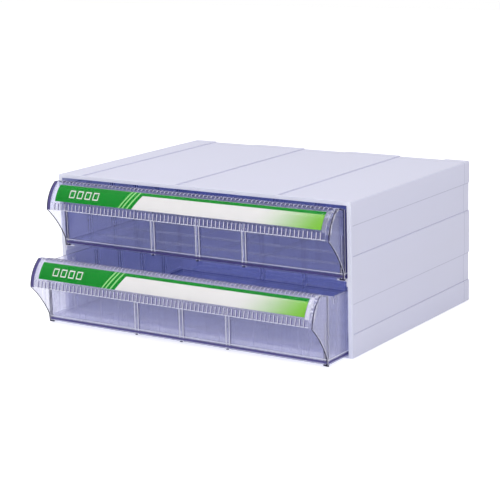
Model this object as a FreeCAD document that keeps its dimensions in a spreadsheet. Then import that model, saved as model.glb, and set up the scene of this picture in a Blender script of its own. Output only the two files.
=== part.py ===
import FreeCAD, Part
import math
import os
import re
import Sketcher

# Two-drawer parts cabinet: a pale moulded housing with two clear drawers.
# X runs across the front, Y from the front to the back and Z up, in millimetres.
# The pieces are drawn with the housing's front plane at Y = 0, then moved back so
# that the origin lies under the middle of the whole object.

doc = FreeCAD.newDocument("parts_cabinet")
sizes = {
    # Housing
    "housing_width": 375,
    "housing_depth": 264,
    "housing_height": 161,
    "side_wall": 5,
    "top_wall": 4,
    "base_wall": 1.7,
    "corner_round": 2,
    "rear_band": 12,
    "rear_wall": 2.5,
    "rear_frame_wall": 3.5,
    "spigot_length": 5,
    "spigot_wall": 1.5,
    "seat_clearance": 0.1,
    # Shallow channels that let cabinets stack and stand side by side
    "channel_depth": 1,
    "channel_start": 3,
    "top_channel_width": 58,
    "top_channel_pitch": 128.5,
    "side_channel_width": 32,
    "stack_rail_drop": 0.8,
    "stack_rail_play": 1,
    "snap_tab_length": 24,
    "snap_tab_inset": 40,
    "snap_tab_height": 7,
    "snap_tab_wall": 1.2,
    # Runners under the upper drawer
    "lower_bay_extra": 5.5,
    "runner_width": 12.5,
    "runner_wall": 2.5,
    "runner_flange": 8,
    "runner_front_inset": 0.5,
    "runner_rear_gap": 1,
    # Drawer trays
    "drawer_side_play": 2,
    "drawer_rear_gap": 12.5,
    "drawer_headroom": 1,
    "drawer_side_step": 6.1,
    "drawer_wall": 2,
    "drawer_floor": 2,
    "skirt_height": 1.6,
    "skirt_wall": 3,
    "drawer_lift": 0.2,
    "drawer_proud": 2,
    "drawer_pull": 34,
    # Handle lip across the top of each drawer front
    "grip_radius": 38.1,
    "grip_centre_back": 9.6,
    "grip_centre_drop": 31,
    "grip_drop": 29.1,
    "lip_set_in": 1,
    "lip_wall": 2,
    "wing_wall": 2,
    "rim_width": 5,
    "wing_foot": 0.6,
    "wing_foot_height": 7.5,
    "wing_sweep": 120,
    # The grip's top falls back from its crest to a notch behind each raised front corner
    "crest_front": 6.8,
    "corner_drop": 5.5,
    "notch_back": 11,
    "notch_width": 5.5,
    "notch_root": 1.2,
    "notch_depth": 13,
    # Guide ribs for loose dividers
    "guide_rib": 1.2,
    "guide_slot": 3.2,
    "guide_reach": 2.6,
    "guide_headroom": 9.7,
    "front_guide_pitch": 59,
    "side_guide_pitch": 42,
    "floor_rib_height": 0.8,
    "divider_wall": 2,
    "divider_headroom": 12.9,
    "divider_clearance": 0.3,
    # Label card and its clear cover
    "cover_wall": 1,
    "cover_end_gap": 0.4,
    "cover_drop": 21.1,
    "cover_top_gap": 1.8,
    "cover_seat": 1.2,
    "card_wall": 0.3,
    "card_drop": 19.3,
    "card_top_gap": 3,
    "card_margin": 5.1,
    "card_play": 0.05,
    # How far each cutter reaches past the faces that it cuts
    "cut_overshoot": 1,
}

sheet = doc.addObject("Spreadsheet::Sheet", "Sizes")
for row, (alias, value) in enumerate(sizes.items(), 1):
    sheet.set("A%d" % row, alias)
    sheet.set("B%d" % row, str(value))
    sheet.setAlias("B%d" % row, alias)
sheet.recompute()

# Sizes worked out from the sheet's
worked_out = {
    "base_top": "stack_rail_drop + base_wall",
    "bay_width": "housing_width - 2 * side_wall",
    "sleeve_depth": "housing_depth - rear_band",
    "bay_pitch": "(housing_height - top_wall - base_top + lower_bay_extra) / 2",
    "runner_top": "base_top + bay_pitch",
    "runner_length": "sleeve_depth - spigot_length - runner_rear_gap - runner_front_inset",
    "drawer_width": "bay_width - 2 * drawer_side_play",
    "drawer_depth": "housing_depth - rear_wall - drawer_rear_gap + drawer_proud",
    "drawer_base": "base_top + drawer_lift",
    "front_height": "housing_height - top_wall - runner_top - drawer_lift - drawer_headroom",
    "side_height": "front_height - drawer_side_step",
    "floor_top": "skirt_height + drawer_floor",
    "inner_width": "drawer_width - 2 * drawer_wall",
    "inner_depth": "drawer_depth - 2 * drawer_wall",
    "grip_middle": "front_height - grip_centre_drop",
    "grip_low": "front_height - grip_drop",
    "crest_fall": "corner_drop * (crest_front + drawer_wall) / (crest_front + notch_back)",
    "grip_reach": "sqrt(grip_radius^2 - (grip_low - grip_middle)^2) - grip_centre_back",
    "wing_reach": "sqrt(grip_radius^2 - grip_centre_drop^2) - grip_centre_back",
    "lip_radius": "grip_radius - lip_set_in",
    "web_reach": "sqrt(lip_radius^2 - grip_centre_drop^2) - grip_centre_back",
    "front_reach": "drawer_proud + drawer_pull + grip_reach",
    "middle_back": "(housing_depth - front_reach) / 2",
    "guide_height": "front_height - floor_top - guide_headroom",
    "guide_step": "(guide_slot + guide_rib) / 2",
    "divider_height": "front_height - floor_top - floor_rib_height - divider_headroom",
    "cover_length": "drawer_width - 2 * rim_width - 2 * cover_end_gap",
    "card_length": "cover_length - 2 * card_margin",
    "card_right": "cover_length / 2 - card_margin",
}
words = re.compile(r"[a-z]+(?:_[a-z]+)+")


def bound(text):
    """Spell an expression out in the sheet's own cells."""
    while any(word in worked_out for word in words.findall(text)):
        text = words.sub(lambda found: spelled(found.group(0)), text)
    return words.sub(lambda found: "Sizes." + found.group(0), text)


def spelled(word):
    """Give a worked-out size as its formula, and any other name as it is."""
    return "(" + worked_out[word] + ")" if word in worked_out else word


def number(text):
    """Work out an expression of size names as a plain number."""
    return float(sheet.evalExpression(bound(text)))


def drive(thing, places):
    """Bind an object's properties to expressions of size names."""
    for name, text in places.items():
        thing.setExpression(name, bound(text))
    return thing


def move(thing, x, y, z):
    """Bind an object's place."""
    return drive(thing, {"Placement.Base.x": x, "Placement.Base.y": y, "Placement.Base.z": z})


def block(name, length, width, height, x, y, z):
    """Make a box from its three sizes and its lowest corner."""
    box = doc.addObject("Part::Box", name)
    drive(box, {"Length": length, "Width": width, "Height": height})
    return move(box, x, y, z)


def fuse(name, things):
    """Join pieces into one solid."""
    joined = doc.addObject("Part::MultiFuse", name)
    joined.Shapes = things
    joined.Refine = True
    return joined


def cut(name, base, tools):
    """Take one or more cutters away from a solid."""
    result = doc.addObject("Part::Cut", name)
    result.Base = base
    result.Tool = tools[0] if len(tools) == 1 else fuse(name + "_tools", tools)
    result.Refine = True
    return result


def finish(thing, label, y, z, x="0"):
    """Name a finished piece and set it in its place in the cabinet."""
    thing.Label = label
    move(thing, x, y + " - middle_back", z)
    pieces.append(thing)
    return thing


def outline(body, name, plane, steps):
    """Draw a closed outline: each step ends at (across, up) and may be an arc of a radius.

    A positive radius bulges to the left of the way along the outline.
    """
    sketch = body.newObject("Sketcher::SketchObject", name)
    origin_plane = [part for part in body.Origin.OriginFeatures if part.Role == plane][0]
    sketch.AttachmentSupport = [(origin_plane, "")]
    sketch.MapMode = "FlatFace"
    corners = [FreeCAD.Vector(number(across), number(up), 0) for across, up, radius in steps]
    for index, (across, up, radius) in enumerate(steps):
        start = corners[index - 1]
        end = corners[index]
        if radius is None:
            sketch.addGeometry(Part.LineSegment(start, end), False)
            continue
        if number(radius) > 0:
            start, end = end, start
        along = end - start
        bend_radius = abs(number(radius))
        inward = FreeCAD.Vector(-along.y, along.x, 0).normalize()
        centre = start + along / 2 + inward * math.sqrt(bend_radius ** 2 - (along.Length / 2) ** 2)
        circle = Part.Circle(centre, FreeCAD.Vector(0, 0, 1), bend_radius)
        first = math.atan2(start.y - centre.y, start.x - centre.x)
        last = math.atan2(end.y - centre.y, end.x - centre.x)
        sketch.addGeometry(Part.ArcOfCircle(circle, first, last), False)
    for index, (across, up, radius) in enumerate(steps):
        following = (index + 1) % len(steps)
        tail, head = ends(sketch.Geometry[index], corners[index])
        next_tail, next_head = ends(sketch.Geometry[following], corners[following])
        sketch.addConstraint(Sketcher.Constraint("Coincident", index, head, following, next_tail))
        for kind, text, axis in (("DistanceX", across, -2), ("DistanceY", up, -1)):
            if number(text) == 0:
                sketch.addConstraint(Sketcher.Constraint("PointOnObject", index, head, axis))
                continue
            place = Sketcher.Constraint(kind, -1, 1, index, head, number(text))
            sketch.setExpression("Constraints[%d]" % sketch.addConstraint(place), bound(text))
        if radius is not None:
            bend = Sketcher.Constraint("Radius", index, abs(number(radius)))
            row = sketch.addConstraint(bend)
            sketch.setExpression("Constraints[%d]" % row, bound(radius.lstrip("-")))
    return sketch


def ends(geometry, head_corner):
    """Say which end of an edge starts it and which ends it, as the outline runs."""
    forwards = geometry.EndPoint.distanceToPoint(head_corner) < 0.001
    return (1, 2) if forwards else (2, 1)


def pad(name, plane, steps, length, backwards=False):
    """Pad one outline in a body of its own."""
    body = doc.addObject("PartDesign::Body", name)
    sketch = outline(body, name + "_outline", plane, steps)
    doc.recompute()
    solid = body.newObject("PartDesign::Pad", name + "_pad")
    solid.Profile = sketch
    solid.Reversed = backwards
    drive(solid, {"Length": length})
    return body


def roll(name, radius, right, length):
    """Make a rod along X on the grip's centre line."""
    rod = doc.addObject("Part::Cylinder", name)
    drive(rod, {"Radius": radius, "Height": length})
    rod.Placement.Rotation = FreeCAD.Rotation(FreeCAD.Vector(0, 1, 0), -90)
    return move(rod, right, "grip_centre_back", "grip_middle")


def arch(name, inner, outer, low, high, right, length):
    """Make a curved strip of the grip between two heights."""
    inner, outer, low, high, right, length = (
        "(" + text + ")" for text in (inner, outer, low, high, right, length))
    ring = cut(name + "_ring", roll(name + "_rod", outer, right, length),
               [roll(name + "_bore", inner, right + " + cut_overshoot", length + " + 2 * cut_overshoot")])
    window = block(name + "_window", length, outer, high + " - " + low,
                   right + " - " + length, "grip_centre_back - " + outer, low)
    strip = doc.addObject("Part::Common", name)
    strip.Base = ring
    strip.Tool = window
    return strip


pieces = []


# Housing: a sleeve of two sides and a top, a snap-in base, a rear cover and two runners

def channels(name, start, length):
    """Cut tools for the shallow channels of the top and the two sides."""
    tools = []
    for index in (-1, 0, 1):
        tools.append(block(
            "%s_top_%d" % (name, index + 1), "top_channel_width", length, "channel_depth + cut_overshoot",
            "%d * top_channel_pitch - top_channel_width / 2" % index, start,
            "housing_height - channel_depth"))
    for side in (-1, 1):
        for bay in (0, 1):
            low = "bay_pitch * (%d + 0.5) + stack_rail_drop - side_channel_width / 2" % bay
            left = "housing_width / 2 - channel_depth"
            if side < 0:
                left = "-housing_width / 2 - cut_overshoot"
            tools.append(block(
                "%s_side_%d_%d" % (name, side + 1, bay), "channel_depth + cut_overshoot", length,
                "side_channel_width", left, start, low))
    return tools


def rounded(x_outer, low, high):
    """List the outer outline of the housing, round at its two upper corners."""
    return [
        ("-" + x_outer, low, None),
        ("-" + x_outer, high + " - corner_round", None),
        ("-" + x_outer + " + corner_round", high, "corner_round"),
        (x_outer + " - corner_round", high, None),
        (x_outer, high + " - corner_round", "corner_round"),
        (x_outer, low, None),
    ]


section = rounded("housing_width / 2", "stack_rail_drop", "housing_height")
inside = [
    ("bay_width / 2", "stack_rail_drop", None),
    ("bay_width / 2", "housing_height - top_wall", None),
    ("-bay_width / 2", "housing_height - top_wall", None),
    ("-bay_width / 2", "stack_rail_drop", None),
]
shell = pad("sleeve_shell", "XZ_Plane", section + inside, "sleeve_depth", True)
sleeve = cut("sleeve", shell, channels("sleeve_channel", "channel_start", "sleeve_depth"))
finish(sleeve, "housing_sleeve", "0", "0")

rear_shell = pad("rear_shell", "XZ_Plane", section, "rear_band", True)
move(rear_shell, "0", "sleeve_depth", "0")
rear_hollow = block(
    "rear_hollow", "housing_width - 2 * rear_frame_wall", "rear_band - rear_wall + cut_overshoot",
    "housing_height - stack_rail_drop - 2 * rear_frame_wall",
    "rear_frame_wall - housing_width / 2", "sleeve_depth - cut_overshoot",
    "stack_rail_drop + rear_frame_wall")
spigot_box = block(
    "spigot_box", "bay_width - 2 * seat_clearance", "spigot_length + rear_band / 2",
    "housing_height - top_wall - seat_clearance - base_top",
    "seat_clearance - bay_width / 2", "sleeve_depth - spigot_length", "base_top")
spigot_hollow = block(
    "spigot_hollow", "bay_width - 2 * seat_clearance - 2 * spigot_wall", "spigot_length + rear_band",
    "housing_height - top_wall - seat_clearance - spigot_wall",
    "seat_clearance + spigot_wall - bay_width / 2", "sleeve_depth - spigot_length - cut_overshoot", "0")
rear_frame = cut("rear_frame", rear_shell, [rear_hollow] + channels(
    "rear_channel", "sleeve_depth - cut_overshoot", "rear_band + 2 * cut_overshoot"))
spigot = cut("spigot", spigot_box, [spigot_hollow])
rear_cover = fuse("rear_cover", [rear_frame, spigot])
finish(rear_cover, "rear_cover", "0", "0")

base_parts = [block(
    "base_plate", "bay_width", "sleeve_depth", "base_wall",
    "-bay_width / 2", "0", "stack_rail_drop")]
for index in (-1, 0, 1):
    base_parts.append(block(
        "stack_rail_%d" % (index + 1), "top_channel_width - 2 * stack_rail_play",
        "sleeve_depth - 2 * channel_start", "stack_rail_drop",
        "%d * top_channel_pitch - top_channel_width / 2 + stack_rail_play" % index,
        "channel_start", "0"))
for side in (-1, 1):
    for end in (0, 1):
        left = "bay_width / 2 - snap_tab_wall" if side > 0 else "-bay_width / 2"
        start = "snap_tab_inset" if end == 0 else "sleeve_depth - snap_tab_inset - snap_tab_length"
        base_parts.append(block(
            "snap_tab_%d_%d" % (side + 1, end), "snap_tab_wall", "snap_tab_length",
            "snap_tab_height", left, start, "base_top"))
finish(fuse("base", base_parts), "base_panel", "0", "0")

for side, label in ((-1, "left_runner"), (1, "right_runner")):
    ledge_left = "bay_width / 2 - runner_width" if side > 0 else "-bay_width / 2"
    flange_left = "bay_width / 2 - spigot_wall" if side > 0 else "-bay_width / 2"
    ledge = block(label + "_ledge", "runner_width", "runner_length", "runner_wall",
                  ledge_left, "runner_front_inset", "runner_top - runner_wall")
    flange = block(label + "_flange", "spigot_wall", "runner_length", "runner_flange",
                   flange_left, "runner_front_inset",
                   "runner_top - runner_flange")
    finish(fuse(label + "_both", [ledge, flange]), label, "0", "0")


# Drawers: a clear tray with its handle lip and wings, a label card and its clear cover

def wing(name, left):
    """Make one flat side plate of the handle."""
    steps = [
        ("0", "0", None),
        ("-wing_foot", "wing_foot_height", None),
        ("-grip_reach", "grip_low", "-wing_sweep"),
        ("-wing_reach", "front_height", "grip_radius"),
        ("-crest_front", "front_height", None),
        ("drawer_wall", "front_height - crest_fall", None),
        ("drawer_wall", "0", None),
    ]
    plate = pad(name, "YZ_Plane", steps, "wing_wall")
    return move(plate, left, "0", "0")


def guides(name):
    """Make the rib pairs on the four walls and the low ribs on the floor."""
    ribs = []
    rear = "drawer_depth - drawer_wall - guide_reach"
    for place in (-1, 0, 1):
        for edge in (-1, 1):
            across = "%d * front_guide_pitch + %d * guide_step - guide_rib / 2" % (place, edge)
            key = "%s_%d_%d" % (name, place + 1, edge + 1)
            ribs.append(block(key + "_front", "guide_rib", "guide_reach", "guide_height",
                              across, "drawer_wall", "floor_top"))
            ribs.append(block(key + "_rear", "guide_rib", "guide_reach", "guide_height",
                              across, rear, "floor_top"))
            ribs.append(block(key + "_floor", "guide_rib", "inner_depth", "floor_rib_height",
                              across, "drawer_wall", "floor_top"))
    for place in range(1, side_guides + 1):
        for edge in (-1, 1):
            back = "%d * side_guide_pitch + %d * guide_step - guide_rib / 2" % (place, edge)
            key = "%s_row_%d_%d" % (name, place, edge + 1)
            ribs.append(block(key + "_left", "guide_reach", "guide_rib", "guide_height",
                              "drawer_wall - drawer_width / 2", back, "floor_top"))
            ribs.append(block(key + "_right", "guide_reach", "guide_rib", "guide_height",
                              "inner_width / 2 - guide_reach", back, "floor_top"))
            ribs.append(block(key + "_floor", "inner_width", "guide_rib", "floor_rib_height",
                              "drawer_wall - drawer_width / 2", back, "floor_top"))
    return ribs


def top_cutter(name):
    """Make the cutter above the tray's walls: the falling front corners, the notches and the lower sides."""
    steps = [
        ("-crest_front", "front_height", None),
        ("notch_back", "front_height - corner_drop", None),
        ("notch_back + (notch_width - notch_root) / 2", "front_height - notch_depth", None),
        ("notch_back + (notch_width + notch_root) / 2", "front_height - notch_depth", None),
        ("notch_back + notch_width", "side_height", None),
        ("drawer_depth + cut_overshoot", "side_height", None),
        ("drawer_depth + cut_overshoot", "front_height + cut_overshoot", None),
        ("-crest_front", "front_height + cut_overshoot", None),
    ]
    cutter = pad(name, "YZ_Plane", steps, "drawer_width + 2 * cut_overshoot")
    return move(cutter, "-drawer_width / 2 - cut_overshoot", "0", "0")


def tray(name):
    """Make one moulded drawer tray in its own frame, with its front wall at Y = 0."""
    outer = block(name + "_outer", "drawer_width", "drawer_depth", "front_height",
                  "-drawer_width / 2", "0", "0")
    hollow = block(name + "_hollow", "inner_width", "inner_depth", "front_height",
                   "-inner_width / 2", "drawer_wall", "floor_top")
    under = block(name + "_under", "drawer_width - 2 * skirt_wall", "drawer_depth - 2 * skirt_wall",
                  "skirt_height", "skirt_wall - drawer_width / 2", "skirt_wall", "0")
    walls = cut(name + "_walls", outer, [hollow, under, top_cutter(name + "_top_cutter")])
    lip = arch(name + "_lip", "lip_radius - lip_wall", "lip_radius", "grip_low",
               "front_height", "drawer_width / 2", "drawer_width")
    web = pad(name + "_web", "YZ_Plane", [
        ("-web_reach", "front_height", None),
        ("-crest_front", "front_height", None),
        ("drawer_wall", "front_height - crest_fall", None),
        ("drawer_wall", "front_height - crest_fall - lip_wall", None),
        ("-crest_front", "front_height - lip_wall", None),
        ("-web_reach", "front_height - lip_wall", None),
    ], "drawer_width")
    move(web, "-drawer_width / 2", "0", "0")
    wings = [wing(name + "_wing_left", "-drawer_width / 2"),
             wing(name + "_wing_right", "drawer_width / 2 - wing_wall")]
    rims = [arch(name + "_rim_" + side, "lip_radius - lip_wall", "grip_radius", "grip_low",
                 "front_height", right, "rim_width")
            for side, right in (("left", "rim_width - drawer_width / 2"), ("right", "drawer_width / 2"))]
    return fuse(name, [walls, lip, web] + wings + rims + guides(name + "_guide"))


side_guides = int(number("(inner_depth - guide_slot - guide_reach) / side_guide_pitch"))

for bay, word in ((0, "lower"), (1, "upper")):
    front = "-drawer_proud - drawer_pull" if bay == 0 else "-drawer_proud"
    height = "drawer_base + %d * bay_pitch" % bay
    finish(tray(word + "_body"), word + "_tray", front, height)

    strip = arch(word + "_strip", "lip_radius", "lip_radius + cover_wall", "front_height - cover_drop",
                 "front_height - cover_top_gap", "cover_length / 2", "cover_length")
    pocket = arch(word + "_pocket", "lip_radius - cut_overshoot",
                  "lip_radius + card_wall + 2 * card_play", "front_height - card_drop - card_play",
                  "front_height - card_top_gap + card_play", "card_right + card_play",
                  "card_length + 2 * card_play")
    finish(cut(word + "_cover", strip, [pocket]), word + "_label_cover", front, height)

    card = arch(word + "_card", "lip_radius + card_play", "lip_radius + card_play + card_wall",
                "front_height - card_drop", "front_height - card_top_gap", "card_right", "card_length")
    finish(card, word + "_label_card", front, height)

for order in (1, 2):
    back = "%d * side_guide_pitch - divider_wall / 2" % (side_guides - 2 + order)
    plate = block("divider_%d" % order, "inner_width - 2 * divider_clearance", "divider_wall",
                  "divider_height", "0", "0", "0")
    finish(plate, "cross_divider_%d" % order, "-drawer_proud + " + back,
           "drawer_base + bay_pitch + floor_top + floor_rib_height",
           "divider_clearance - inner_width / 2")

doc.recompute()

for thing in doc.Objects:
    if "Invalid" in thing.State or "Error" in thing.State:
        raise RuntimeError("%s did not recompute: %s" % (thing.Name, thing.State))
for piece in pieces:
    if piece.Shape.isNull() or not piece.Shape.isValid():
        raise RuntimeError("%s has no sound shape" % piece.Label)

os.makedirs("parts", exist_ok=True)
for piece in pieces:
    piece.Shape.exportStep("parts/" + piece.Label + ".step")
    print(piece.Label, len(piece.Shape.Solids), round(piece.Shape.Volume), piece.Shape.BoundBox)
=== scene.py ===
import math

import bmesh
import bpy
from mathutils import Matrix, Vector


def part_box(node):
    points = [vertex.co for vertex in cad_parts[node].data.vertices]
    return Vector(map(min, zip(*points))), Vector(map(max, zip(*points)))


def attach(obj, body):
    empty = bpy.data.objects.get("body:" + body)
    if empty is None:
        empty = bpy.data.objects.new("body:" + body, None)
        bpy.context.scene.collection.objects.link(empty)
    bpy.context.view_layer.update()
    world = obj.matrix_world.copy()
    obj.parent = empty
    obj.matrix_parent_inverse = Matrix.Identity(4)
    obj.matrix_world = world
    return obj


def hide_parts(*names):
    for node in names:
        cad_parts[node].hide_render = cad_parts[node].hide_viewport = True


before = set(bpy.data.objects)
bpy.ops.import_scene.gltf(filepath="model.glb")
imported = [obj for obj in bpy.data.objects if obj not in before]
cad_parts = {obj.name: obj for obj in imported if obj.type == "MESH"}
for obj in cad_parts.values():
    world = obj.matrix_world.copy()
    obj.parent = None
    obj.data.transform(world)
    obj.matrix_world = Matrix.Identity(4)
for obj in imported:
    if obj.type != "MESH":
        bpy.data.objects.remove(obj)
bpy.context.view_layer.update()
mm = 0.001
print("frame loaded")


# Shader maths: a link wraps one output socket, so that maths on it reads as an expression
class Link:
    def __init__(self, recipe, socket):
        self.recipe = recipe
        self.socket = socket

    def __add__(self, other):
        return self.recipe.maths("ADD", self, other)

    def __radd__(self, other):
        return self.recipe.maths("ADD", other, self)

    def __sub__(self, other):
        return self.recipe.maths("SUBTRACT", self, other)

    def __rsub__(self, other):
        return self.recipe.maths("SUBTRACT", other, self)

    def __mul__(self, other):
        return self.recipe.maths("MULTIPLY", self, other)

    def __rmul__(self, other):
        return self.recipe.maths("MULTIPLY", other, self)

    def __truediv__(self, other):
        return self.recipe.maths("DIVIDE", self, other)

    def __gt__(self, other):
        return self.recipe.maths("GREATER_THAN", self, other)

    def __lt__(self, other):
        return self.recipe.maths("LESS_THAN", self, other)


class Recipe:
    def __init__(self, name, **fixed):
        self.material = bpy.data.materials.new(name)
        self.material.use_nodes = True
        self.tree = self.material.node_tree
        self.tree.nodes.clear()
        self.output = self.add("ShaderNodeOutputMaterial")
        self.shader = self.add("ShaderNodeBsdfPrincipled")
        self.set(**fixed)
        self.show(self.surface())

    # Every node is made here: its settings first, then the values or links of its sockets
    def add(self, kind, settings=None, values=None):
        made = self.tree.nodes.new(kind)
        for key, value in (settings or {}).items():
            setattr(made, key, value)
        for key, value in (values or {}).items():
            self.feed(made.inputs[key], value)
        return made

    def node(self, kind, settings=None, values=None, out=0):
        return Link(self, self.add(kind, settings, values).outputs[out])

    def maths(self, operation, first, second):
        return self.node("ShaderNodeMath", {"operation": operation}, {0: first, 1: second})

    def feed(self, socket, value):
        if isinstance(value, Link):
            self.tree.links.new(value.socket, socket)
        else:
            socket.default_value = value

    def set(self, **inputs):
        for socketName, value in inputs.items():
            self.feed(self.shader.inputs[socketName.replace("_", " ")], value)

    def surface(self):
        return Link(self, self.shader.outputs[0])

    def show(self, surface):
        self.feed(self.output.inputs["Surface"], surface)

    def place(self):
        return self.node("ShaderNodeTexCoord", out="Object")

    def axes(self, vector):
        split = self.add("ShaderNodeSeparateXYZ", values={0: vector})
        return [Link(self, socket) for socket in split.outputs]

    def noise(self, vector, scale, detail=3, roughness=0.5):
        return self.node("ShaderNodeTexNoise", values={
            "Vector": vector, "Scale": scale, "Detail": detail, "Roughness": roughness})

    # Sockets 6 and 7 are the two colours of a colour mix, and output 2 is its result
    def mix(self, factor, first, second):
        return self.node("ShaderNodeMix", {"data_type": "RGBA"}, {0: factor, 6: first, 7: second}, 2)

    def blend(self, factor, first, second):
        return self.node("ShaderNodeMixShader", values={0: factor, 1: first, 2: second})

    def bump(self, height, strength, distance):
        return self.node("ShaderNodeBump", values={
            "Height": height, "Strength": strength, "Distance": distance})


def rgb(red, green, blue):
    return (red, green, blue, 1)


housingLook = {
    "colour": rgb(0.725, 0.725, 0.865),
    "shade": rgb(0.695, 0.695, 0.835),
    "letsThrough": rgb(0.46, 0.53, 0.73),
    "glows": rgb(0.74, 0.74, 0.88),
    "glow": 0.10,           # share of the surface lit from behind
    "patch": 9,
    "grain": 1400,
    "grainDepth": 0.02 * mm,
    "grainStrength": 0.35,
    "roughness": 0.42,
    "cloudRoughness": 0.1,
    "grainRoughness": 0.05,
}


# Plastic lets some lamp light through to what is behind it, so its shadow is pale and tinted
def lettingLight(recipe, surface, tint):
    pale = recipe.node("ShaderNodeBsdfTransparent", values={"Color": tint})
    shadowRay = recipe.node("ShaderNodeLightPath", out="Is Shadow Ray")
    recipe.show(recipe.blend(shadowRay, surface, pale))
    return recipe.material


# Satin moulded plastic: faint cloudiness from the mould and a fine spark-eroded grain
def housingPlastic(name, look):
    recipe = Recipe(name, IOR=1.5)
    spot = recipe.place()
    cloud = recipe.noise(spot, look["patch"])
    grain = recipe.noise(spot, look["grain"], 2)
    recipe.set(
        Base_Color=recipe.mix(cloud, look["shade"], look["colour"]),
        Roughness=(look["roughness"] + look["cloudRoughness"] * (cloud - 0.5)
                   + look["grainRoughness"] * grain),
        Normal=recipe.bump(grain, look["grainStrength"], look["grainDepth"]),
    )
    behind = recipe.node("ShaderNodeBsdfTranslucent", values={"Color": look["glows"]})
    return lettingLight(recipe, recipe.blend(look["glow"], recipe.surface(), behind), look["letsThrough"])


# Painted shade: a darker copy of the housing plastic for the channels' corners and the seam. Painted
# highlight: a paler copy for the sleeve's front rim.
paintedShadeLook = dict(housingLook, colour=rgb(0.52, 0.52, 0.65), shade=rgb(0.48, 0.48, 0.61))
paintedLitRimLook = dict(housingLook, colour=rgb(0.86, 0.87, 0.97), shade=rgb(0.83, 0.84, 0.94))
runnerLook = dict(housingLook, colour=rgb(0.88, 0.88, 0.95), shade=rgb(0.84, 0.84, 0.92))

clearLook = {
    "tint": rgb(0.99, 0.99, 1.0),
    "deepTint": rgb(0.97, 0.97, 0.99),
    "letsThrough": rgb(0.95, 0.955, 1.0),
    "glint": rgb(0.80, 0.82, 1.0),
    "absorbs": rgb(0.45, 0.48, 0.82),
    "density": 130,
    "haze": 0.045,
    "hazeColour": rgb(0.58, 0.58, 0.86),
    "through": 0.5,         # how much of the haze is lit from behind
    "streaks": 0.4,
    "streakScale": (420, 420, 12),
    "paintedHighlight": rgb(0.95, 0.95, 1.0),
    "roughness": 0.035,
    "flowRoughness": 0.02,
    "ior": 1.45,
    "flow": 14,
}


# Clear plastic is slightly hazy, in upright streaks, and darkens with the length of the way through it,
# so its edges look deep violet. An optional scaling changes the haze from place to place, and an
# optional painted highlight gives the share of the surface that is painted white.
def clearPlastic(name, look, hazeByPlace=None, paintedHighlighting=None):
    recipe = Recipe(name, IOR=look["ior"], Transmission_Weight=1, Specular_Tint=look["glint"])
    spot = recipe.place()
    flow = recipe.noise(spot, look["flow"])
    recipe.set(
        Base_Color=recipe.mix(flow, look["deepTint"], look["tint"]),
        Roughness=look["roughness"] + look["flowRoughness"] * flow,
    )
    clear = recipe.surface()
    if look["haze"]:
        front = recipe.node("ShaderNodeBsdfDiffuse", values={"Color": look["hazeColour"]})
        through = recipe.node("ShaderNodeBsdfTranslucent", values={"Color": look["hazeColour"]})
        haze = recipe.blend(look["through"], front, through)
        upright = recipe.node("ShaderNodeMapping", values={0: spot, "Scale": look["streakScale"]})
        streak = recipe.noise(upright, 1, 2) - 0.5
        share = look["haze"] * (1 + look["streaks"] * 4 * streak)
        if hazeByPlace:
            share = share * hazeByPlace(recipe, spot)
        clear = recipe.blend(share, clear, haze)
    if paintedHighlighting:
        white = recipe.node("ShaderNodeBsdfDiffuse", values={"Color": look["paintedHighlight"]})
        clear = recipe.blend(paintedHighlighting(recipe, spot), clear, white)
    if look["density"]:
        depth = recipe.node("ShaderNodeVolumeAbsorption", values={
            "Color": look["absorbs"], "Density": look["density"]})
        recipe.feed(recipe.output.inputs["Volume"], depth)
    return lettingLight(recipe, clear, look["letsThrough"])


# On the clear mouldings light and shade are painted: rounded edges and rib crests white as highlights, the
# curved rims and rib flanks violet as shade, and where the eye looks along the sheet a darker violet as
# deep shade. The lower tray is painted hazier and paler all over, as painted light, since it stands
# further out.
paintedLightLowerTrayLook = dict(clearLook, absorbs=rgb(0.60, 0.61, 0.82), haze=0.24,
                   hazeColour=rgb(0.75, 0.74, 0.88), streaks=0.35)
paintedHighlightLook = dict(clearLook, haze=0.85, hazeColour=rgb(0.90, 0.90, 1.0), through=0.12, streaks=0,
                roughness=0.1)
paintedVioletLook = dict(clearLook, haze=0.75, hazeColour=rgb(0.15, 0.13, 0.36), through=0.2, streaks=0.1)
paintedDeepShadeLook = dict(clearLook, haze=0.75, hazeColour=rgb(0.075, 0.065, 0.165), streaks=0, roughness=0.12)
filmLook = dict(clearLook, letsThrough=rgb(0.97, 0.97, 0.98), density=0, haze=0, ior=1.15,
                roughness=0.03)

cardLook = {
    "paper": rgb(0.58, 0.57, 0.56),
    "green": rgb(0.003, 0.19, 0.016),
    "leaf": rgb(0.15, 0.39, 0.035),
    "pale": rgb(0.28, 0.60, 0.22),
    "panel": 0.31,          # where the green panel ends, as a share of the card's length
    "slant": 0.035,
    "topBand": 0.84,        # height at which the green band along the top begins
    "fadeStart": 0.74,
    "fadeEnd": 1.0,
    "bars": (0.018, 0.036, 0.050),      # how far each bar lies before the panel's end
    "barWidth": 0.006,
    "barInk": 0.8,
    "boxes": 4,
    "boxStart": 0.065,
    "boxStep": 0.032,
    "boxHeight": 0.52,
    "boxHalf": 0.011,
    "boxHole": 0.72,        # the empty middle of a box, as a share of its size
    "fleckScale": 2500,
    "flecks": 0.08,
    "fleckColour": rgb(0.6, 0.6, 0.6),
}


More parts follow.
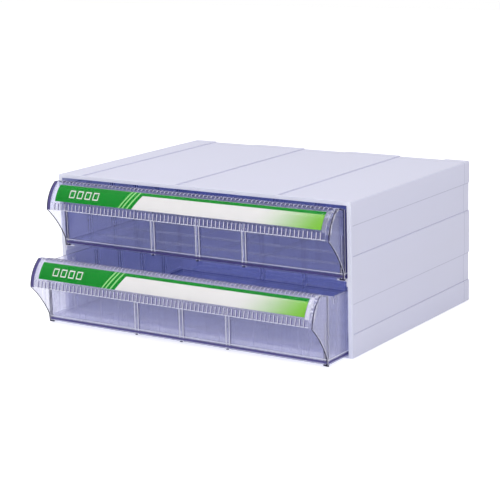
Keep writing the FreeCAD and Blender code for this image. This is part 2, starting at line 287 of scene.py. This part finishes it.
# Printed card: a green panel with slanted bars and empty boxes, a band along the top and a right end
# that fades to green
def printedCard(name, look, box):
    low, high = box
    length = high.x - low.x
    height = high.z - low.z
    recipe = Recipe(name, Roughness=0.55, Specular_IOR_Level=0.05)
    spot = recipe.place()
    x, _, z = recipe.axes(spot)
    along = (x - low.x) / length
    up = (z - low.z) / height
    leaning = along - look["slant"] * up
    fleck = recipe.noise(spot, look["fleckScale"], 2)
    paper = recipe.mix(look["flecks"] * fleck, look["paper"], look["fleckColour"])
    fade = recipe.node("ShaderNodeMapRange", {"interpolation_type": "SMOOTHSTEP", "clamp": True}, {
        "Value": leaning, "From Min": look["fadeStart"], "From Max": look["fadeEnd"]})
    ink = recipe.mix(fade, paper, look["leaf"])
    panel = leaning < look["panel"]
    band = (up > look["topBand"]) * (leaning < look["fadeEnd"])
    ink = recipe.mix(recipe.maths("MAXIMUM", panel, band), ink, look["green"])
    for gap in look["bars"]:
        bar = recipe.node("ShaderNodeMath", {"operation": "COMPARE"}, {
            0: leaning, 1: look["panel"] - gap, 2: look["barWidth"] / 2})
        ink = recipe.mix(bar * look["barInk"], ink, look["pale"])
    for order in range(look["boxes"]):
        across = recipe.maths("ABSOLUTE", along - (look["boxStart"] + order * look["boxStep"]), 0)
        over = recipe.maths("ABSOLUTE", (up - look["boxHeight"]) * (height / length), 0)
        edge = recipe.maths("MAXIMUM", across, over)
        ring = (edge < look["boxHalf"]) * (edge > look["boxHalf"] * look["boxHole"])
        ink = recipe.mix(ring, ink, look["paper"])
    recipe.set(Base_Color=ink)
    return recipe.material


housingFinish = housingPlastic("satinHousingPlastic", housingLook)
paintedShadeFinish = housingPlastic("satinPaintedShadePlastic", paintedShadeLook)
paintedLitRimFinish = housingPlastic("satinPaintedLitRimPlastic", paintedLitRimLook)
runnerFinish = housingPlastic("satinRunnerPlastic", runnerLook)
clearFinish = clearPlastic("clearPlastic", clearLook)
paintedVioletFinish = clearPlastic("clearPaintedVioletPlastic", paintedVioletLook)
paintedDeepShadeFinish = clearPlastic("clearPaintedDeepShadePlastic", paintedDeepShadeLook)
paintedHighlightFinish = clearPlastic("clearPaintedHighlightPlastic", paintedHighlightLook)
print("finishes made")


def gathered(name, mesh, finishes, body, nodes):
    piece = bpy.data.objects.new(name, mesh)
    bpy.context.scene.collection.objects.link(piece)
    piece.data.materials.clear()
    for finish in finishes:
        piece.data.materials.append(finish)
    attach(piece, body)
    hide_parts(*nodes)
    return piece


def applied(piece):
    graph = bpy.context.evaluated_depsgraph_get()
    mesh = bpy.data.meshes.new_from_object(piece.evaluated_get(graph))
    piece.modifiers.clear()
    piece.data = mesh


meshLook = {
    "weldWithin": 0.001 * mm,
    "flatWithin": math.radians(0.5),        # faces that meet at less than this become one
    "roundFrom": math.radians(30),          # edges that turn by more than this get a radius
    "roundSteps": 2,
    "largeFaces": 80,                       # how much the large faces lead the shading, of 100
    "facing": 0.9,                          # cosine from which a face looks along an axis
}


# A copy of a CAD node with its flat faces joined, ready for more detail
def nodeMesh(nodeName):
    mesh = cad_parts[nodeName].data.copy()
    work = bmesh.new()
    work.from_mesh(mesh)
    bmesh.ops.remove_doubles(work, verts=work.verts, dist=meshLook["weldWithin"])
    bmesh.ops.dissolve_limit(work, angle_limit=meshLook["flatWithin"], verts=work.verts, edges=work.edges)
    work.to_mesh(mesh)
    work.free()
    return mesh


def joinOn(piece, mesh):
    tool = bpy.data.objects.new("tool", mesh)
    for finish in piece.data.materials:
        mesh.materials.append(finish)
    bpy.context.scene.collection.objects.link(tool)
    union = piece.modifiers.new("union", "BOOLEAN")
    union.operation = "UNION"
    union.solver = "EXACT"
    union.object = tool
    applied(piece)
    bpy.data.objects.remove(tool)


# Give a moulding its small edge radii, in the finish of the faces beside them or that of a slot
def rounded(piece, radius, edgeSlot=-1):
    rounding = piece.modifiers.new("rounding", "BEVEL")
    rounding.width = radius
    rounding.segments = meshLook["roundSteps"]
    rounding.limit_method = "ANGLE"
    rounding.angle_limit = meshLook["roundFrom"]
    rounding.material = edgeSlot
    applied(piece)


# Shade the radii softly. Faces of at least a given area stay plane, so no slant shows across them.
def smoothed(piece, planeFrom=math.inf):
    for face in piece.data.polygons:
        face.use_smooth = face.area < planeFrom
    normals = piece.modifiers.new("normals", "WEIGHTED_NORMAL")
    normals.weight = meshLook["largeFaces"]
    applied(piece)


def dressed(nodeName, name, finishes, body, radius):
    piece = gathered(name, nodeMesh(nodeName), finishes, body, [nodeName])
    rounded(piece, radius, len(finishes) - 1)
    smoothed(piece)


# Cut the wanted faces along some planes, so that a finish can end there
def cutFaces(work, wanted, planes):
    for place, normal in planes:
        work.normal_update()
        faces = [face for face in work.faces if wanted(face.calc_center_median(), face.normal)]
        edges = {edge for face in faces for edge in face.edges}
        corners = {corner for face in faces for corner in face.verts}
        bmesh.ops.bisect_plane(work, geom=[*corners, *edges, *faces], plane_co=place, plane_no=normal)


channelLook = {
    "depth": 1 * mm,
    "upperEdges": (56.8 * mm, 136.8 * mm),      # heights of the side channels' upper edges
    "lowerEdges": (24.8 * mm, 104.8 * mm),
    "topWalls": (-157.5 * mm, -29 * mm, 99.5 * mm),
    "upperLine": 1.1 * mm,
    "lowerLine": 0.75 * mm,
    "topLine": 1.5 * mm,
    "seamLine": 1 * mm,
    "seamDepth": 1.2 * mm,
    "near": 0.05 * mm,
    "frontNear": 0.1 * mm,
    "aside": 0.1,           # cosine up to which a face looks away from an axis
    "slots": {"paintedShade": 1, "paintedLitRim": 2},
    "planeFrom": 0.05,      # square metres
}


# Shade is painted in lines along the channels' corners and in the seam before the rear cover, and the
# sleeve's front rim is painted paler as a painted highlight
def paintedHousingLightAndShade(mesh, nodeName, look):
    low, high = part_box(nodeName)
    isSleeve = nodeName == "housing_sleeve"
    facing = meshLook["facing"]
    seam = high.y - look["seamLine"]

    def sideFloor(centre, normal):
        return abs(abs(centre.x) - high.x + look["depth"]) < look["near"] and abs(normal.x) > facing

    def topFloor(centre, normal):
        return abs(centre.z - high.z + look["depth"]) < look["near"] and normal.z > facing

    def skin(centre, normal):
        atSide = abs(centre.x) > high.x - look["seamDepth"]
        return isSleeve and (atSide or centre.z > high.z - look["seamDepth"])

    work = bmesh.new()
    work.from_mesh(mesh)
    lines = [(edge - look["upperLine"], edge) for edge in look["upperEdges"]]
    lines += [(edge, edge + look["lowerLine"]) for edge in look["lowerEdges"]]
    walls = [(wall, wall + look["topLine"]) for wall in look["topWalls"]]
    cutFaces(work, sideFloor, [((0, 0, edge), (0, 0, 1)) for line in lines for edge in line])
    cutFaces(work, topFloor, [((edge, 0, 0), (1, 0, 0)) for wall in walls for edge in wall])
    cutFaces(work, skin, [((0, seam, 0), (0, 1, 0))])
    work.normal_update()
    for face in work.faces:
        centre, normal = face.calc_center_median(), face.normal
        if sideFloor(centre, normal) and any(start < centre.z < end for start, end in lines):
            face.material_index = look["slots"]["paintedShade"]
        elif topFloor(centre, normal) and any(start < centre.x < end for start, end in walls):
            face.material_index = look["slots"]["paintedShade"]
        elif skin(centre, normal) and centre.y > seam and abs(normal.y) < look["aside"]:
            face.material_index = look["slots"]["paintedShade"]
        elif isSleeve and normal.y < -facing and centre.y < low.y + look["frontNear"]:
            face.material_index = look["slots"]["paintedLitRim"]
    work.to_mesh(mesh)
    work.free()


shells = (("housing_sleeve", "housingSleeve", 0.6 * mm), ("rear_cover", "rearCover", 0.4 * mm))
for nodeName, name, radius in shells:
    piece = gathered(name, nodeMesh(nodeName), [housingFinish, paintedShadeFinish, paintedLitRimFinish], "housing",
                     [nodeName])
    # paint shade into the channels' corners and the seam, and a highlight onto the front rim
    paintedHousingLightAndShade(piece.data, nodeName, channelLook)
    rounded(piece, radius)
    smoothed(piece, channelLook["planeFrom"])
dressed("base_panel", "basePanel", [housingFinish], "housing", 0.25 * mm)
dressed("left_runner", "leftRunner", [runnerFinish], "housing", 0.3 * mm)
dressed("right_runner", "rightRunner", [runnerFinish], "housing", 0.3 * mm)
print("housing dressed")

# A tray's painted deep shade, painted violet and painted highlight finishes follow its clear one
paintedDeepShadeSlot, paintedVioletSlot, paintedHighlightSlot = 1, 2, 3      # of a tray's finishes, after the clear one

gripLook = {
    "radius": 38.1 * mm,        # outer radius of the wings' curved rims
    "centreBack": 9.6 * mm,     # the curve's centre, behind the front wall
    "centreDrop": 31 * mm,      # and below the top
    "drop": 29.1 * mm,          # from the top to the lip's lower edge
    "setIn": 1 * mm,
    "ribPitch": 5 * mm,
    "crest": 6.8 * mm,          # how far in front of the front wall the top starts to fall back
    "fall": 0.31,               # and how steeply
    "ribHalf": 0.4 * mm,
    "ribFoot": 1.05 * mm,
    "ribProud": 0.6 * mm,
    "ribSunk": 0.4 * mm,
    "ribRise": 7 * mm,
    "ribSteps": 4,
    "ribStart": 0.7,            # height of the ribs' feet over the lip's lower edge, in lip lines
    "ribEnd": 8 * mm,
    "topRibProud": 0.35 * mm,
    "topRibSlim": (0.8, 0.9),   # the upper ribs' half and foot, as shares of the lower ones'
    "topRibPlaces": (0.4 * mm, 0.8 * mm, 1.5 * mm),
    "lugHeight": 1.5 * mm,
    "lugDepth": 1.8 * mm,
    "lugRoot": 0.8 * mm,
    "lugInset": 0.1 * mm,
    "cornerLug": 6 * mm,
    "cornerLugInset": 0.2 * mm,
    "middleLug": 3 * mm,
    "middleLugShare": 0.7,
    "edge": 0.3 * mm,
    "near": 0.1 * mm,
    "curveNear": 0.3 * mm,
    "floorBand": (1.3 * mm, 3.8 * mm),      # heights over the tray's lower edge
    "floorLine": (5.0 * mm, 5.9 * mm),
    "lipLine": 0.8 * mm,
    "lipFacing": 0.3,
    "wing": 2.3 * mm,
    "cornerLines": (0.3 * mm, 1.3 * mm, 2.0 * mm, 3.0 * mm),    # from the wing's inner face
    "sideLines": (0.2 * mm, 1.0 * mm, 1.8 * mm),        # along the sides, from the front wall's face
    "sideBand": {"upper_tray": (2 * mm, 14 * mm)},
    "guides": (-59 * mm, 0, 59 * mm),
    "guideLines": (-1.5 * mm, -0.2 * mm, 2.9 * mm, 4.2 * mm, 5.1 * mm),     # through the front wall
    "guideZone": 70 * mm,
    "guideDepth": 6 * mm,
    "rim": 5.2 * mm,
    "rimReach": 2 * mm,
    "rimLine": 1.2 * mm,
    "rimAside": 0.5,
    "outline": 1.7 * mm,
    "highlightDepth": 3 * mm,
    "highlightPast": 1 * mm,
    "highlightRise": 6 * mm,
    "highlightScale": (800, 500, 150),
    "highlightFrom": 0.48,
    "highlightTo": 0.62,
    "highlightBase": 0.35,
}


# Where a tray's handle sits, worked out from the tray's box
def gripPlaces(nodeName, look):
    low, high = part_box(nodeName)
    lowest = high.z - look["drop"]
    centreZ = high.z - look["centreDrop"]
    reach = math.sqrt(look["radius"] ** 2 - (lowest - centreZ) ** 2) - look["centreBack"]
    front = low.y + reach
    return {"low": low, "high": high, "front": front, "lipLow": lowest,
            "centre": Vector((0, front + look["centreBack"], centreZ)),
            "lipRadius": look["radius"] - look["setIn"]}


# A tapered rib follows a way of points, each with its outward direction. The crest and the two ends are
# painted white as a highlight, and the flanks violet as shade.
def addRib(work, x, way, half, foot, proud, sunk):
    outline = ((foot, -sunk), (foot, 0), (half, proud), (-half, proud), (-foot, 0), (-foot, -sunk))
    rings = [[work.verts.new(point + out * rise + Vector((x + across, 0, 0))) for across, rise in outline]
             for point, out in way]
    count = len(outline)
    for first, second in zip(rings, rings[1:]):
        for side in range(count):
            following = (side + 1) % count
            face = work.faces.new((first[side], first[following], second[following], second[side]))
            face.material_index = paintedHighlightSlot if side == 2 else paintedVioletSlot
    for ring in (rings[0][::-1], rings[-1]):
        work.faces.new(ring).material_index = paintedHighlightSlot


def addBox(work, low, high, slot):
    corners = [work.verts.new((x, y, z)) for z in (low[2], high[2])
               for x, y in ((low[0], low[1]), (high[0], low[1]), (high[0], high[1]), (low[0], high[1]))]
    rounds = [corners[3::-1], corners[4:]]
    for side in range(4):
        following = (side + 1) % 4
        rounds.append((corners[side], corners[following], corners[4 + following], corners[4 + side]))
    for corner in rounds:
        work.faces.new(corner).material_index = slot


# Lines of light and shade are painted where the eye looks along the sheet: the floor's edge seen through
# the walls, the upright corners, the wings' outlines and curved rims, the lip's lower edge and the guide
# ribs
def paintedTrayLightAndShade(mesh, nodeName, look):
    grip = gripPlaces(nodeName, look)
    low, high, front = grip["low"], grip["high"], grip["front"]
    inner = high.x - look["wing"]
    facing, near = meshLook["facing"], look["near"]
    floorBand, floorLine = look["floorBand"], look["floorLine"]
    cornerLines, sideLines, guideLines = look["cornerLines"], look["sideLines"], look["guideLines"]
    band = look["sideBand"].get(nodeName, ())

    def sides(centre, normal):
        return abs(centre.x) > high.x - near

    def frontWall(centre, normal):
        return abs(centre.y - front) < near and normal.y < -facing

    def outer(centre, normal):
        return sides(centre, normal) or centre.y > high.y - near or frontWall(centre, normal)

    def seenWall(centre, normal):
        return frontWall(centre, normal) and centre.z < grip["lipLow"]

    def outline(centre, normal):
        return abs(centre.x) > inner and centre.y < front and abs(normal.x) < look["rimAside"]

    def onCurve(centre, radius):
        return abs((centre - grip["centre"]).yz.length - radius) < look["curveNear"]

    def rim(centre, normal):
        return (abs(centre.x) > high.x - look["rim"] - look["rimReach"]
                and abs(normal.x) < look["rimAside"] and onCurve(centre, look["radius"]))

    def lip(centre, normal):
        return (abs(centre.x) < high.x - look["rim"] and centre.y < front
                and normal.y < -look["lipFacing"] and onCurve(centre, grip["lipRadius"]))

    def level(height):
        return (0, 0, low.z + height), (0, 0, 1)

    def bothSides(places):
        return [((side * place, 0, 0), (1, 0, 0)) for place in places for side in (-1, 1)]

    work = bmesh.new()
    work.from_mesh(mesh)
    cutFaces(work, outer, [level(height) for height in (*floorBand, *floorLine)])
    cutFaces(work, frontWall, [level(grip["lipLow"] - low.z)])
    cutFaces(work, frontWall, bothSides([inner - line for line in cornerLines]))
    cutFaces(work, frontWall, [((guide + line, 0, 0), (1, 0, 0))
                               for guide in look["guides"] for line in guideLines])
    cutFaces(work, sides, [((0, front + line, 0), (0, 1, 0)) for line in (*sideLines, *band)])
    cutFaces(work, rim, bothSides([high.x - look["rim"], high.x - look["rimLine"]]))
    cutFaces(work, outline, [((inner + look["outline"], 0, 0), (1, 0, 0)),
                             ((look["outline"] - high.x, 0, 0), (1, 0, 0))])
    cutFaces(work, lip, [level(grip["lipLow"] - low.z + look["lipLine"])])
    work.normal_update()
    for face in work.faces:
        centre, normal = face.calc_center_median(), face.normal
        height = centre.z - low.z
        line = inner - abs(centre.x)
        back = centre.y - front
        across = min((centre.x - guide for guide in look["guides"]), key=abs)
        # the violet and deep finishes are painted shade, the highlight finish is painted light
        if outer(centre, normal) and floorBand[0] < height < floorBand[1]:
            face.material_index = paintedVioletSlot
        elif outer(centre, normal) and floorLine[0] < height < floorLine[1]:
            face.material_index = paintedHighlightSlot
        elif seenWall(centre, normal) and cornerLines[0] < line < cornerLines[3]:
            middle = cornerLines[1] < line < cornerLines[2]
            face.material_index = paintedHighlightSlot if middle else paintedDeepShadeSlot
        elif seenWall(centre, normal) and (guideLines[0] < across < guideLines[1]
                                           or guideLines[2] < across < guideLines[3]):
            face.material_index = paintedHighlightSlot
        elif seenWall(centre, normal) and guideLines[3] < across < guideLines[4]:
            face.material_index = paintedVioletSlot
        elif sides(centre, normal) and sideLines[0] < back < sideLines[2]:
            face.material_index = paintedDeepShadeSlot if back < sideLines[1] else paintedHighlightSlot
        # the upper tray's right side just inside the housing is painted violet, standing in for the light
        # and shade seen there
        elif sides(centre, normal) and centre.x > 0 and band and band[0] < back < band[1]:
            face.material_index = paintedVioletSlot
        elif rim(centre, normal) and abs(centre.x) > high.x - look["rimLine"]:
            face.material_index = paintedDeepShadeSlot
        elif rim(centre, normal) and centre.x < look["rim"] - high.x + near:
            face.material_index = paintedVioletSlot
        elif outline(centre, normal) and not rim(centre, normal):
            fromLeft = centre.x + high.x if centre.x < 0 else centre.x - inner
            face.material_index = paintedDeepShadeSlot if fromLeft < look["outline"] else paintedHighlightSlot
        elif lip(centre, normal) and centre.z < grip["lipLow"] + look["lipLine"]:
            face.material_index = paintedHighlightSlot
        elif (abs(normal.x) > facing and back < look["guideDepth"]
              and abs(centre.x) < look["guideZone"]):
            face.material_index = paintedHighlightSlot if normal.x > 0 else paintedDeepShadeSlot
    work.to_mesh(mesh)
    work.free()


frontHazeLook = {
    "full": 50 * mm,        # fully hazy as far back as this
    "least": 80 * mm,       # and least of all from here on
    "share": 0.25,
}


# A tray is hazier near its front and clearer further back
def frontHaze(nodeName, look):
    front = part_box(nodeName)[0].y

    def hazeByPlace(recipe, spot):
        return recipe.node("ShaderNodeMapRange", {"clamp": True}, {
            "Value": recipe.axes(spot)[1], "From Min": front + look["full"],
            "From Max": front + look["least"], "To Min": 1.0, "To Max": look["share"]})

    return hazeByPlace


# Painted highlight: white flecks along the right wing's curved rim
def paintedRimHighlight(nodeName, look, strength):
    grip = gripPlaces(nodeName, look)
    high, middle = grip["high"], grip["centre"]

    def paintedHighlighting(recipe, spot):
        x, y, z = recipe.axes(spot)
        back = y - middle.y
        over = z - middle.z
        apart = back * back + over * over
        within = apart > (look["radius"] - look["highlightDepth"]) ** 2
        ring = within * (apart < (look["radius"] + look["highlightPast"]) ** 2)
        side = ((x > high.x - look["rim"]) * (y < grip["front"])
                * (z > grip["lipLow"] + look["highlightRise"]))
        stretched = recipe.node("ShaderNodeMapping", values={0: spot, "Scale": look["highlightScale"]})
        flecks = recipe.node("ShaderNodeMapRange", {"clamp": True}, {
            "Value": recipe.noise(stretched, 1, 2), "From Min": look["highlightFrom"],
            "From Max": look["highlightTo"]})
        return ring * side * flecks * strength

    return paintedHighlighting


endLook = {
    "past": 0.6 * mm,
    "cloudScale": 300,
    "least": 0.5,
}


# The right end of a label cover, past its card, is painted white in clouds as a highlight
def paintedEndHighlight(cardName, look, strength):
    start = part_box(cardName)[1].x + look["past"]

    def paintedHighlighting(recipe, spot):
        cloud = look["least"] + recipe.noise(spot, look["cloudScale"], 2)
        return (recipe.axes(spot)[0] > start) * cloud * strength

    return paintedHighlighting


# The grip ribs along the lip, the short ribs over the label and the stop lugs under the front wall
def trayDetail(nodeName, look):
    grip = gripPlaces(nodeName, look)
    work = bmesh.new()

    def onArc(z):
        rise = z - grip["centre"].z
        out = Vector((0, -math.sqrt(grip["lipRadius"] ** 2 - rise ** 2), rise)) / grip["lipRadius"]
        return grip["centre"] + out * grip["lipRadius"], out

    steps = look["ribSteps"]
    lowest = grip["lipLow"] + look["lipLine"] * look["ribStart"]
    lowWay = [onArc(lowest + look["ribRise"] * step / steps) for step in range(steps + 1)]
    top, front = grip["high"].z, grip["front"]
    bend, nose, tip = look["topRibPlaces"]
    topPoint, topOut = onArc(top - bend)
    upward = Vector((0, look["fall"], 1)).normalized()
    topWay = [(Vector((0, front, top - look["fall"] * look["crest"])), upward),
              (Vector((0, front - look["crest"], top)), upward),
              (Vector((0, topPoint.y + nose, top)), Vector((0, 0, 1))),
              (topPoint, topOut), onArc(top - tip)]
    half, foot, sunk = look["ribHalf"], look["ribFoot"], look["ribSunk"]
    slimHalf, slimFoot = look["topRibSlim"]
    count = int((grip["high"].x - look["ribEnd"]) / look["ribPitch"])
    for order in range(-count, count + 1):
        x = order * look["ribPitch"]
        addRib(work, x, lowWay, half, foot, look["ribProud"], sunk)
        addRib(work, x, topWay, half * slimHalf, foot * slimFoot, look["topRibProud"], sunk)
    base = grip["low"].z

    # The stop lugs are painted dark as shade
    def addLug(left, right, drop):
        addBox(work, (left, front + look["lugInset"], base - drop),
               (right, front + look["lugDepth"], base + look["lugRoot"]), paintedDeepShadeSlot)

    inner = grip["high"].x - look["cornerLug"]
    outer = grip["high"].x - look["cornerLugInset"]
    addLug(-outer, -inner, look["lugHeight"])
    addLug(inner, outer, look["lugHeight"])
    for guide in look["guides"]:
        addLug(guide - look["middleLug"] / 2, guide + look["middleLug"] / 2,
               look["lugHeight"] * look["middleLugShare"])
    bmesh.ops.recalc_face_normals(work, faces=work.faces)
    mesh = bpy.data.meshes.new(nodeName + "Detail")
    work.to_mesh(mesh)
    work.free()
    return mesh


# How strongly the rims and cover ends are painted white as highlights, and the lower tray's painted light
# plastic
drawerLook = {
    "upper": {"plastic": clearLook, "paintedHighlight": 0.07},
    "lower": {"plastic": paintedLightLowerTrayLook, "paintedHighlight": 0.22},
}

for word, look in drawerLook.items():
    body, trayName, cardName = word + "_drawer", word + "_tray", word + "_label_card"
    paintedHighlight = look["paintedHighlight"]
    trayFinish = clearPlastic(word + "TrayPlastic", look["plastic"], frontHaze(trayName, frontHazeLook),
                              paintedRimHighlight(trayName, gripLook, gripLook["highlightBase"] + paintedHighlight))
    tray = gathered(word + "Tray", nodeMesh(trayName), [trayFinish, paintedDeepShadeFinish, paintedVioletFinish, paintedHighlightFinish],
                    body, [trayName])
    paintedTrayLightAndShade(tray.data, trayName, gripLook)
    # the tray's rounded edges are painted white as highlights
    rounded(tray, gripLook["edge"], paintedHighlightSlot)
    joinOn(tray, trayDetail(trayName, gripLook))
    smoothed(tray)
    coverFinish = clearPlastic(word + "CoverFilm", filmLook, paintedHighlighting=paintedEndHighlight(cardName, endLook, paintedHighlight))
    dressed(word + "_label_cover", word + "LabelCover", [coverFinish], body, 0.15 * mm)
    cardFinish = printedCard(word + "PrintedCard", cardLook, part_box(cardName))
    dressed(cardName, word + "LabelCard", [cardFinish], body, 0.04 * mm)
# The dividers' rounded edges are painted white as highlights
for order in (1, 2):
    dressed("cross_divider_%d" % order, "crossDivider%d" % order, [clearFinish, paintedHighlightFinish],
            "upper_drawer", 0.3 * mm)
print("drawers dressed")


# A pale floor that keeps the shadow. The room lights matt surfaces softly, and the eye and clear or
# glossy surfaces see it white.
stageLook = {
    "floorSize": 8,
    "paint": rgb(0.80, 0.80, 0.80),
    "glow": 0.58,
    "roughness": 0.5,
}


# Rays of the eye, straight or by way of gloss and clear plastic, but not the rays that light matt surfaces
def seenRays(recipe):
    kinds = [recipe.node("ShaderNodeLightPath", out=kind)
             for kind in ("Is Camera Ray", "Is Glossy Ray", "Is Transmission Ray")]
    seen = recipe.maths("MAXIMUM", recipe.maths("MAXIMUM", kinds[0], kinds[1]), kinds[2])
    return seen * (recipe.node("ShaderNodeLightPath", out="Diffuse Depth") < 0.5)


def floorPaint(look):
    recipe = Recipe("paleFloor", Roughness=look["roughness"], Base_Color=look["paint"])
    glow = recipe.node("ShaderNodeEmission", values={"Strength": look["glow"]})
    nothing = recipe.node("ShaderNodeEmission", values={"Strength": 0})
    seen = recipe.blend(seenRays(recipe), nothing, glow)
    recipe.show(recipe.node("ShaderNodeAddShader", values={0: seen, 1: recipe.surface()}))
    return recipe.material


def makeFloor(look):
    half = look["floorSize"] / 2
    mesh = bpy.data.meshes.new("floor")
    mesh.from_pydata([(-half, -half, 0), (half, -half, 0), (half, half, 0), (-half, half, 0)], [],
                     [(0, 1, 2, 3)])
    floor = bpy.data.objects.new("floor", mesh)
    bpy.context.scene.collection.objects.link(floor)
    mesh.materials.append(floorPaint(look))


roomLook = {
    "white": rgb(1, 1, 1),
    "fill": 0.576,
    "seen": 1.0,
    "dimSide": (0.56, -0.80, 0.20),     # the room is dim on this side of it
    "dim": 0.44,
    "dimFrom": 0.6,                     # cosine from which it is fully dim
}


class WorldRecipe(Recipe):
    def __init__(self, world):
        world.use_nodes = True
        self.tree = world.node_tree
        self.tree.nodes.clear()
        self.output = self.add("ShaderNodeOutputWorld")


def makeRoom(look):
    world = bpy.data.worlds.new("softRoom")
    bpy.context.scene.world = world
    recipe = WorldRecipe(world)
    fill = recipe.node("ShaderNodeBackground", values={"Color": look["white"], "Strength": look["fill"]})
    way = recipe.node("ShaderNodeTexCoord", out="Generated")
    facing = recipe.node("ShaderNodeVectorMath", {"operation": "DOT_PRODUCT"}, {
        0: way, 1: look["dimSide"]}, "Value")
    shade = recipe.node("ShaderNodeMapRange", {"interpolation_type": "SMOOTHSTEP", "clamp": True}, {
        "Value": facing, "From Min": 0.0, "From Max": look["dimFrom"],
        "To Min": look["seen"], "To Max": look["dim"]})
    seen = recipe.node("ShaderNodeBackground", values={"Color": look["white"], "Strength": shade})
    recipe.show(recipe.blend(seenRays(recipe), fill, seen))


lampLook = {
    "overhead": {"place": (-0.2, -0.6, 1.8), "aim": (0, 0, 0.08), "size": 1.2, "power": 12.6},
    "front": {"place": (0.9, -1.8, 0.6), "aim": (0, -0.1, 0.08), "size": 0.9, "power": 10},
    "right": {"place": (2.0, -0.2, 0.9), "aim": (0, 0, 0.08), "size": 1.0, "power": 5},
    "left": {"place": (-1.8, -0.6, 0.8), "aim": (0, 0, 0.08), "size": 0.9, "power": 4.5},
}


def makeLamp(name, look):
    light = bpy.data.lights.new(name, "AREA")
    light.size = look["size"]
    light.energy = look["power"]
    lamp = bpy.data.objects.new(name, light)
    lamp.location = look["place"]
    way = Vector(look["aim"]) - Vector(look["place"])
    lamp.rotation_euler = way.to_track_quat("-Z", "Y").to_euler()
    bpy.context.scene.collection.objects.link(lamp)


makeFloor(stageLook)
makeRoom(roomLook)
for lampName, plan in lampLook.items():
    makeLamp(lampName, plan)

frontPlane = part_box("housing_sleeve")[0].y
view = {
    "place": Vector((950.3 * mm, frontPlane - 1308.2 * mm, 461.0 * mm)),
    "turn": [math.radians(angle) for angle in (77.132, 1.587, 33.675)],
    "lens": 113.04,
    "sensor": 36.0,
}
cameraData = bpy.data.cameras.new("camera")
cameraData.lens = view["lens"]
cameraData.sensor_width = view["sensor"]
camera = bpy.data.objects.new("camera", cameraData)
camera.location = view["place"]
camera.rotation_euler = view["turn"]
bpy.context.scene.collection.objects.link(camera)
bpy.context.scene.camera = camera
bpy.context.scene.view_settings.view_transform = "Standard"
print("camera and lights set")
